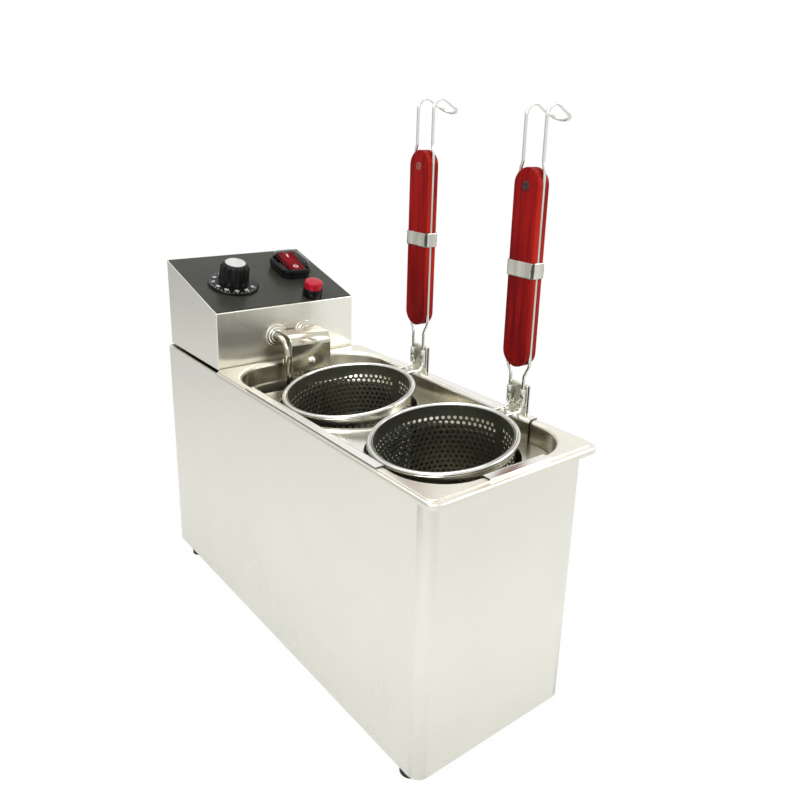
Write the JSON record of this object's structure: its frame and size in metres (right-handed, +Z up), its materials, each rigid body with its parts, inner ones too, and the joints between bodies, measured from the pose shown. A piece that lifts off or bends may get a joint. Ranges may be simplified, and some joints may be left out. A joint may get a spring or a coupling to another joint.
{
  "type": "electric noodle cooker",
  "caption": "Counter-top electric noodle cooker: steel tank and casing, lift-out rack, perforated baskets with red wooden grips, and a sloped control head",
  "frame": {"origin": "centre of the casing's footprint, on the plane of the feet", "axes": "+Z is up, -Y is the front, the control head is at +Y, the basket handles stand at +X"},
  "size_m": [0.201, 0.4692, 0.5073],
  "materials": {
    "casing_steel": "satin brushed stainless sheet",
    "bright_steel": "polished stainless sheet",
    "basket_steel": "bright stainless wire and perforated sheet",
    "tube_steel": "heat-tinted tube",
    "rivet_steel": "dull rivet",
    "copper": "bare copper tube",
    "black_plastic": "satin black",
    "red_plastic": "glossy red",
    "pale_plastic": "pale moulding",
    "clear_silicone": "clear silicone",
    "black_rubber": "matte rubber",
    "red_wood": "red-stained, waxed"
  },
  "bodies": {
    "cooker": {"casing": "casing_steel", "base_plate": "casing_steel", "rubber_feet": "black_rubber", "foot_screws": "bright_steel", "foot_nuts": "bright_steel", "tank": "bright_steel", "head_shell": "casing_steel", "head_base": "casing_steel", "head_rear_cover": "casing_steel", "head_screws": "bright_steel", "control_panel": "black_plastic", "thermostat": "pale_plastic", "thermostat_bulb": "copper", "limiter": "pale_plastic", "limiter_bulb": "copper", "reset_collar": "black_plastic", "switch_frame": "black_plastic", "switch_body": "pale_plastic", "switch_boot": "clear_silicone", "terminal_block": "pale_plastic", "cord_gland": "black_plastic", "heating_element": "tube_steel", "element_glands": "bright_steel", "gland_lock_nuts": "bright_steel", "element_bracket": "casing_steel", "clamp_bar": "casing_steel", "bracket_screw": "bright_steel", "element_stand": "casing_steel"},
    "knob": {"thermostat_knob": "black_plastic", "knob_cap": "pale_plastic", "thermostat_shaft": "bright_steel"},
    "rocker": {"power_rocker": "red_plastic"},
    "reset": {"reset_button": "red_plastic"},
    "rack": {"basket_rack": "bright_steel"},
    "front_basket": {"front_cup": "basket_steel", "front_cup_rim": "basket_steel", "front_handle_wire": "basket_steel", "front_sleeves": "basket_steel", "front_hook_plate": "basket_steel", "front_grip_outer": "red_wood", "front_grip_inner": "red_wood", "front_grip_band": "basket_steel", "front_rivet": "rivet_steel"},
    "rear_basket": {"rear_cup": "basket_steel", "rear_cup_rim": "basket_steel", "rear_handle_wire": "basket_steel", "rear_sleeves": "basket_steel", "rear_hook_plate": "basket_steel", "rear_grip_outer": "red_wood", "rear_grip_inner": "red_wood", "rear_grip_band": "basket_steel", "rear_rivet": "rivet_steel"}
  },
  "joints": [
    {"name": "knob_turn", "type": "hinge", "parent": "cooker", "child": "knob", "pos_m": [-0.0354, 0.15566, 0.31648], "axis": [0, 0.2768, -0.9609], "range_deg": [0, 270]},
    {"name": "rocker_tilt", "type": "hinge", "parent": "cooker", "child": "rocker", "pos_m": [0.04, 0.17142, 0.3257], "axis": [-1, 0, 0], "range_deg": [0, 20]},
    {"name": "reset_press", "type": "slide", "parent": "cooker", "child": "reset", "axis": [0, 0.2768, -0.9609], "range_m": [0, 0.003], "stiffness_N_per_m": 400},
    {"name": "rack_lift", "type": "slide", "parent": "cooker", "child": "rack", "axis": [0, 0, 1], "range_m": [0, 0.2]},
    {"name": "front_basket_lift", "type": "slide", "parent": "rack", "child": "front_basket", "axis": [0, 0, 1], "range_m": [0, 0.25]},
    {"name": "rear_basket_lift", "type": "slide", "parent": "rack", "child": "rear_basket", "axis": [0, 0, 1], "range_m": [0, 0.25]}
  ]
}
